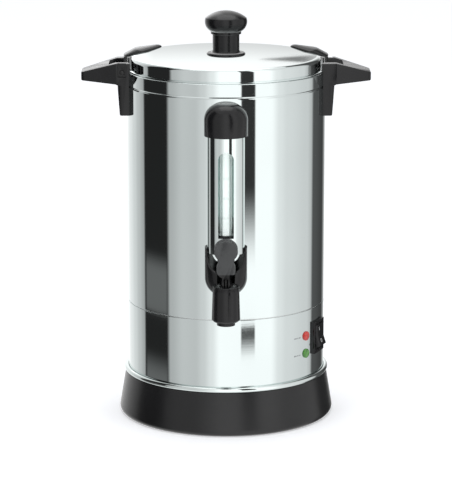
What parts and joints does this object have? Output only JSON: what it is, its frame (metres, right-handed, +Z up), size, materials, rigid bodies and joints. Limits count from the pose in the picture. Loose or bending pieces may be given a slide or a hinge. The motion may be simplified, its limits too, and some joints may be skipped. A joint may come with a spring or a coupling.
{
  "type": "coffee urn",
  "caption": "Stainless steel percolating coffee urn with a latched lift-off lid, side handles, sight gauge, lever tap, rocker switch and black electric base.",
  "frame": {"origin": "on the tank's axis, at the level of the surface that the base stands on", "axes": "+Z up along the tank, the tap points along -Y, the handles lie along X with the switch on the +X side"},
  "size_m": [0.3174, 0.3048, 0.4508],
  "materials": {
    "brushed_steel": "brushed",
    "polished_steel": "polished",
    "moulded_black": "satin",
    "lever_grey": "matte",
    "dark_rubber": "matte",
    "steel_hardware": "plain",
    "percolator_steel": "satin",
    "silicone_white": "matte",
    "gauge_glass": "clear",
    "red_lens": "glossy",
    "green_lens": "glossy",
    "element_sheath": "matte",
    "aluminium_plate": "satin",
    "fuse_body": "satin",
    "terminal_plastic": "satin",
    "lead_insulation": "satin",
    "brass_blades": "polished"
  },
  "bodies": {
    "urn": {"tank_shell": "brushed_steel", "tank_bottom": "brushed_steel", "lower_casing": "brushed_steel", "base_skirt": "moulded_black", "trim_ring": "polished_steel", "bottom_cover": "moulded_black", "rubber_feet": "dark_rubber", "bottom_screws": "steel_hardware", "handle_right": "moulded_black", "handle_left": "moulded_black", "handle_screws_right": "steel_hardware", "handle_screws_left": "steel_hardware", "latch_pin_right": "steel_hardware", "latch_pin_left": "steel_hardware", "gauge_guard": "polished_steel", "gauge_cap": "moulded_black", "gauge_cap_screw": "steel_hardware", "gauge_glass": "gauge_glass", "gauge_seal_top": "dark_rubber", "gauge_seal_bottom": "dark_rubber", "gauge_nut": "moulded_black", "tap_cover": "moulded_black", "tap_body": "moulded_black", "tap_bonnet": "moulded_black", "shank_nut": "steel_hardware", "shank_seals": "dark_rubber", "switch_housing": "moulded_black", "red_light": "red_lens", "green_light": "green_lens", "light_clips": "steel_hardware", "heating_element": "element_sheath", "heater_plate": "aluminium_plate", "heater_nuts": "steel_hardware", "thermostat": "aluminium_plate", "thermal_fuse": "fuse_body", "terminal_block": "terminal_plastic", "wiring": "lead_insulation", "power_inlet": "moulded_black", "inlet_pins": "brass_blades", "inlet_screws": "steel_hardware"},
    "lid": {"lid_shell": "polished_steel", "lid_knob": "moulded_black", "knob_screw": "steel_hardware", "knob_washer": "steel_hardware"},
    "right_latch": {"latch_right": "moulded_black"},
    "left_latch": {"latch_left": "moulded_black"},
    "valve": {"valve_stem": "steel_hardware", "lever_pin": "steel_hardware", "seat_cup": "silicone_white", "valve_spring": "steel_hardware"},
    "lever": {"tap_lever": "lever_grey"},
    "rocker": {"switch_rocker": "moulded_black"},
    "percolator": {"pump_tube": "percolator_steel", "pump_foot": "percolator_steel", "coffee_basket": "percolator_steel", "basket_spreader": "percolator_steel"}
  },
  "joints": [
    {"name": "lid_lift", "type": "slide", "parent": "urn", "child": "lid", "axis": [0, 0, 1], "range_m": [0, 0.018]},
    {"name": "right_latch_swing", "type": "hinge", "parent": "urn", "child": "right_latch", "pos_m": [0.1135, 0, 0.3856], "axis": [0, 1, 0], "range_deg": [0, 63]},
    {"name": "left_latch_swing", "type": "hinge", "parent": "urn", "child": "left_latch", "pos_m": [-0.1135, 0, 0.3856], "axis": [0, -1, 0], "range_deg": [0, 63]},
    {"name": "valve_lift", "type": "slide", "parent": "urn", "child": "valve", "axis": [0, 0, 1], "range_m": [0, 0.003], "stiffness_N_per_m": 150, "springref_m": -0.006, "deforming": ["valve_spring"]},
    {"name": "lever_tilt", "type": "hinge", "parent": "valve", "child": "lever", "pos_m": [0, -0.1666, 0.1855], "axis": [1, 0, 0], "range_deg": [0, 35.5]},
    {"name": "rocker_tilt", "type": "hinge", "parent": "urn", "child": "rocker", "pos_m": [0.0983, -0.04072, 0.095], "axis": [0.3827, 0.9239, 0], "range_deg": [0, 22]},
    {"name": "percolator_lift", "type": "slide", "parent": "urn", "child": "percolator", "axis": [0, 0, 1], "range_m": [0, 0.012]}
  ],
  "couplings": [
    {"joint": "right_latch_swing", "follows": "lid_lift", "rad_per_m": 60.117},
    {"joint": "left_latch_swing", "follows": "lid_lift", "rad_per_m": 60.117},
    {"joint": "lever_tilt", "follows": "valve_lift", "rad_per_m": 203.62}
  ]
}
